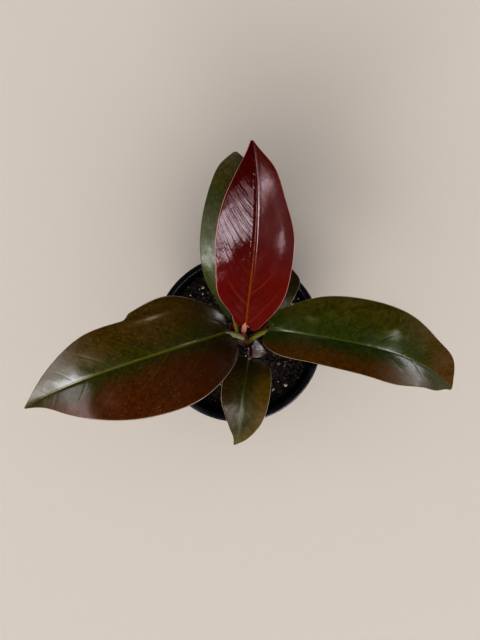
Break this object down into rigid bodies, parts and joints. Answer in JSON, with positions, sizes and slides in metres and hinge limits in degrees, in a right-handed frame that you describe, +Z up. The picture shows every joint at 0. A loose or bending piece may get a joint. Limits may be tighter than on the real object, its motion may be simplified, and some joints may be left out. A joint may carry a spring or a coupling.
{
  "type": "potted philodendron",
  "caption": "Young philodendron with broad pointed glossy leaves on upright stalks, growing in potting soil in a round black nursery pot that stands on its flat base.",
  "frame": {"origin": "centre of the pot's underside, on the surface it stands on", "axes": "+Z up along the pot; +X towards the long leaf on the right; +Y towards the upright new leaf, so the small front leaf points to -Y"},
  "size_m": [0.3605, 0.2392, 0.2771],
  "materials": {
    "pot": "smooth black moulded plastic",
    "soil": "dark crumbly peat mix",
    "root": "pale matt root skin",
    "stem": "brown-green waxy stem",
    "stalk_green": "satin yellow-green",
    "stalk_red": "satin dark red",
    "leaf_green": "glossy dark green",
    "leaf_bronze": "glossy bronze green",
    "leaf_red": "high gloss deep red",
    "cataphyll": "glossy dark red",
    "dry_sheath": "dry papery",
    "perlite": "matt white grains"
  },
  "bodies": {
    "root": {"nursery_pot": "pot", "potting_soil": "soil", "roots": "root", "stem": "stem", "stalk_left": "stalk_green", "stalk_right": "stalk_green", "stalk_new": "stalk_red", "stalk_back_left": "stalk_green", "stalk_front": "stalk_red", "stalk_back_right": "stalk_green", "leaf_left": "leaf_bronze", "leaf_right": "leaf_green", "leaf_new": "leaf_red", "leaf_back_left": "leaf_green", "leaf_front": "leaf_green", "leaf_back_right": "leaf_green", "cataphyll": "cataphyll", "dry_sheath": "dry_sheath", "perlite_01": "perlite", "perlite_02": "perlite", "perlite_03": "perlite", "perlite_04": "perlite", "perlite_05": "perlite", "perlite_06": "perlite", "perlite_07": "perlite", "perlite_08": "perlite", "perlite_09": "perlite", "perlite_10": "perlite", "perlite_11": "perlite", "perlite_12": "perlite", "perlite_13": "perlite", "perlite_14": "perlite", "perlite_15": "perlite", "perlite_16": "perlite", "perlite_17": "perlite", "perlite_18": "perlite", "perlite_19": "perlite", "perlite_20": "perlite"}
  },
  "joints": []
}
